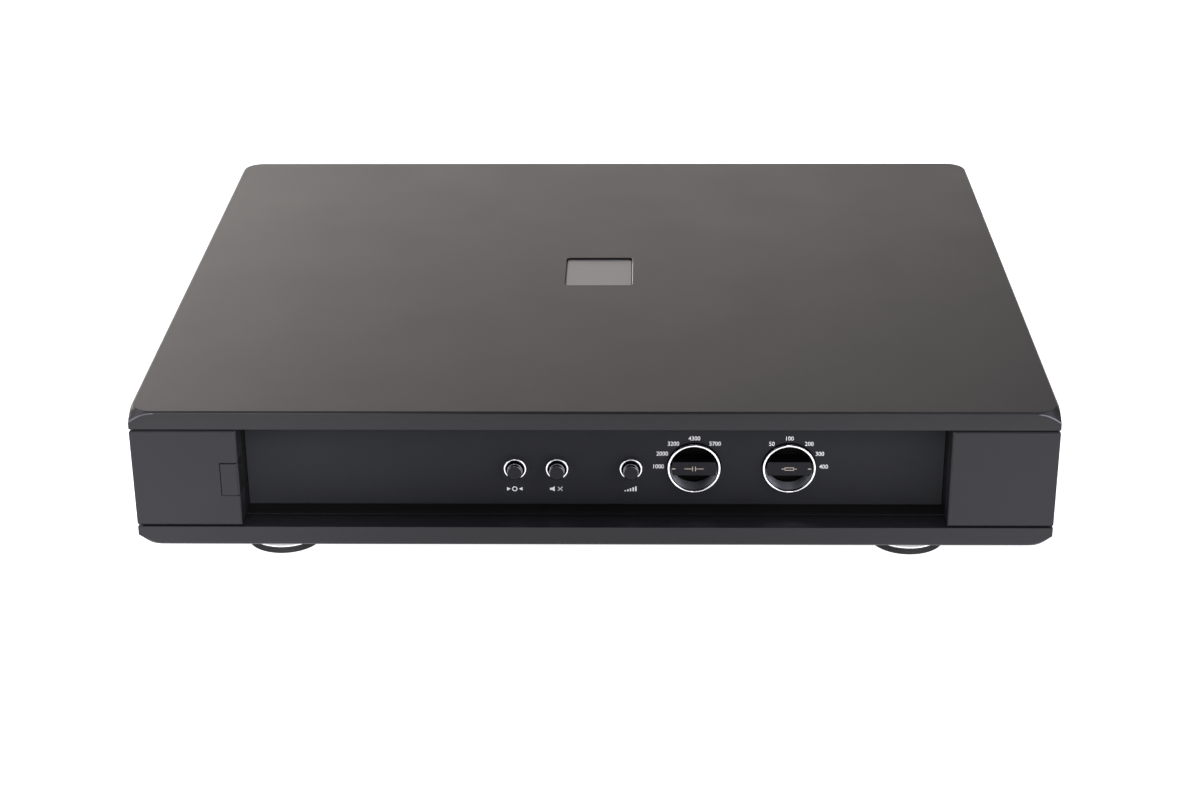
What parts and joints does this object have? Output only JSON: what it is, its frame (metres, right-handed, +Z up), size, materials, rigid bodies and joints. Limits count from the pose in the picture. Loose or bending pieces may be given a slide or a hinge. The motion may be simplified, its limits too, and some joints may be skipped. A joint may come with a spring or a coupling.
{
  "type": "phono preamp",
  "caption": "Full-width phono preamp: flat slab case with a deep front recess that holds push buttons and rotary dials, a power button in the left block, connectors at the rear and round feet.",
  "frame": {"origin": "centre of the bounding box in plan, on the surface that the feet stand on", "axes": "+X to the right seen from the front, along the width; +Y from the front face to the rear connectors; +Z up"},
  "size_m": [0.433, 0.37, 0.0795],
  "materials": {
    "cover_finish": "satin",
    "case_finish": "satin",
    "recess_finish": "satin",
    "fascia_finish": "satin",
    "plate_metal": "satin",
    "panel_finish": "satin",
    "sheet_steel": "satin",
    "foot_rubber": "matte",
    "foot_disc_white": "gloss",
    "bright_screws": "satin",
    "black_screws": "satin",
    "bright_rod": "satin",
    "spring_wire": "satin",
    "switch_black": "matte",
    "dial_black": "satin",
    "bright_ring": "polished",
    "wafer_brown": "matte",
    "button_black": "gloss",
    "board_green": "satin",
    "connector_black": "matte",
    "latch_steel": "satin",
    "socket_gold": "polished",
    "pillar_brass": "satin",
    "fuse_ceramic": "satin",
    "transformer_tape": "satin",
    "capacitor_blue": "gloss",
    "capacitor_red": "satin",
    "wire_brown": "satin"
  },
  "bodies": {
    "case": {"top_cover": "cover_finish", "badge_plate": "plate_metal", "base": "case_finish", "left_side_frame": "case_finish", "right_side_frame": "case_finish", "recess_surround": "recess_finish", "fascia_panel": "fascia_finish", "switch_bracket": "sheet_steel", "rear_panel": "panel_finish", "feet": "foot_rubber", "foot_discs": "foot_disc_white", "foot_screws": "bright_screws", "cover_screws": "black_screws", "rear_panel_screws": "black_screws", "connector_screws": "black_screws", "board_screws": "bright_screws", "power_button_spring": "spring_wire", "mains_switch": "switch_black", "mains_switch_bracket": "sheet_steel", "rotary_switches": "wafer_brown", "switch_nuts": "bright_screws", "button_bezels": "bright_ring", "button_switches": "switch_black", "mono_spring": "spring_wire", "mute_spring": "spring_wire", "gain_spring": "spring_wire", "control_board": "board_green", "balanced_input_left": "connector_black", "balanced_input_right": "connector_black", "input_inserts": "connector_black", "balanced_output_left": "connector_black", "balanced_output_right": "connector_black", "input_sockets": "socket_gold", "output_sockets": "socket_gold", "earth_post": "socket_gold", "mains_inlet": "connector_black", "transformer": "transformer_tape", "transformer_plate": "sheet_steel", "transformer_bolt": "bright_screws", "main_board": "board_green", "board_pillars": "pillar_brass", "smoothing_capacitors": "capacitor_blue", "coupling_capacitors": "capacitor_red", "mains_wiring": "wire_brown"},
    "capacitance_dial": {"capacitance_knob": "dial_black", "capacitance_knob_rim": "bright_ring", "capacitance_spindle": "bright_rod"},
    "load_dial": {"load_knob": "dial_black", "load_knob_rim": "bright_ring", "load_spindle": "bright_rod"},
    "mono_push": {"mono_button": "button_black"},
    "mute_push": {"mute_button": "button_black"},
    "gain_push": {"gain_button": "button_black"},
    "power_push": {"power_button": "case_finish", "power_push_rod": "bright_rod"},
    "left_latch": {"input_latch_left": "latch_steel"},
    "right_latch": {"input_latch_right": "latch_steel"},
    "fuse_tray": {"fuse_drawer": "connector_black", "fuse": "fuse_ceramic"},
    "earth_thumb_nut": {"earth_nut": "socket_gold"}
  },
  "joints": [
    {"name": "capacitance_turn", "type": "hinge", "parent": "case", "child": "capacitance_dial", "pos_m": [0.0475, -0.1623, 0.0402], "axis": [0, -1, 0], "range_deg": [-120, 0]},
    {"name": "load_turn", "type": "hinge", "parent": "case", "child": "load_dial", "pos_m": [0.0929, -0.1623, 0.0402], "axis": [0, -1, 0], "range_deg": [0, 120]},
    {"name": "mono_press", "type": "slide", "parent": "case", "child": "mono_push", "axis": [0, 1, 0], "range_m": [0, 0.002], "stiffness_N_per_m": 500, "springref_m": -0.001, "deforming": ["mono_spring"]},
    {"name": "mute_press", "type": "slide", "parent": "case", "child": "mute_push", "axis": [0, 1, 0], "range_m": [0, 0.002], "stiffness_N_per_m": 500, "springref_m": -0.001, "deforming": ["mute_spring"]},
    {"name": "gain_press", "type": "slide", "parent": "case", "child": "gain_push", "axis": [0, 1, 0], "range_m": [0, 0.002], "stiffness_N_per_m": 500, "springref_m": -0.001, "deforming": ["gain_spring"]},
    {"name": "power_press", "type": "slide", "parent": "case", "child": "power_push", "axis": [0, 1, 0], "range_m": [0, 0.0025], "stiffness_N_per_m": 800, "springref_m": -0.001, "deforming": ["power_button_spring"]},
    {"name": "left_latch_press", "type": "slide", "parent": "case", "child": "left_latch", "axis": [0, -1, 0], "range_m": [0, 0.0015], "stiffness_N_per_m": 400, "springref_m": -0.001},
    {"name": "right_latch_press", "type": "slide", "parent": "case", "child": "right_latch", "axis": [0, -1, 0], "range_m": [0, 0.0015], "stiffness_N_per_m": 400, "springref_m": -0.001},
    {"name": "fuse_drawer_slide", "type": "slide", "parent": "case", "child": "fuse_tray", "axis": [0, 1, 0], "range_m": [0, 0.012]},
    {"name": "earth_nut_turn", "type": "hinge", "parent": "case", "child": "earth_thumb_nut", "pos_m": [0.045, 0.1764, 0.0451], "axis": [0, 1, 0], "range_deg": [0, 720]}
  ]
}
